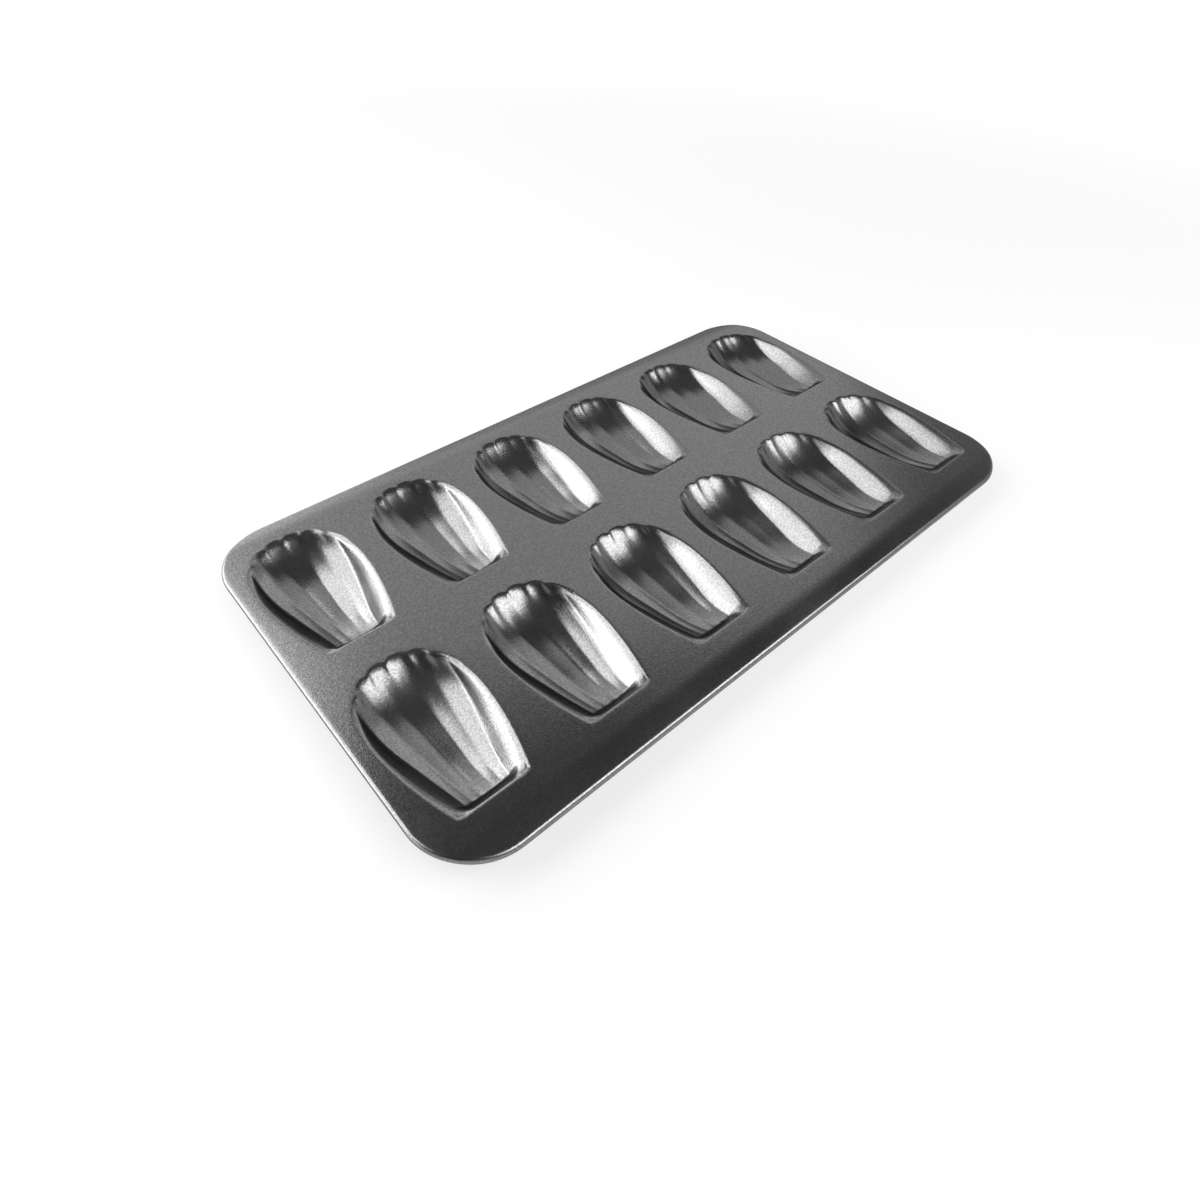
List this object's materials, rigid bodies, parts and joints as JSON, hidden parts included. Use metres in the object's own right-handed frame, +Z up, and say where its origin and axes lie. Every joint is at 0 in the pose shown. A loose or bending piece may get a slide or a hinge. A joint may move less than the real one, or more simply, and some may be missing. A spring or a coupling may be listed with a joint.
{
  "type": "madeleine pan",
  "caption": "Pressed steel baking pan with shell-shaped moulds in two rows, a flat deck, sloping long borders and a rolled, wired rim.",
  "frame": {"origin": "middle of the pan's footprint, at the level of the moulds' undersides that it stands on", "axes": "+X along the long side, +Y from the moulds' flat ends towards their shell ends, +Z up out of the moulds"},
  "size_m": [0.3754, 0.2126, 0.0133],
  "materials": {
    "coated_steel": "semi-gloss dark grey non-stick coating",
    "wire_steel": "bare drawn wire"
  },
  "bodies": {
    "root": {"deck": "coated_steel", "rim_curl": "coated_steel", "rim_wire": "wire_steel", "mould_front_1": "coated_steel", "mould_front_2": "coated_steel", "mould_front_3": "coated_steel", "mould_front_4": "coated_steel", "mould_front_5": "coated_steel", "mould_front_6": "coated_steel", "mould_back_1": "coated_steel", "mould_back_2": "coated_steel", "mould_back_3": "coated_steel", "mould_back_4": "coated_steel", "mould_back_5": "coated_steel", "mould_back_6": "coated_steel"}
  },
  "joints": []
}
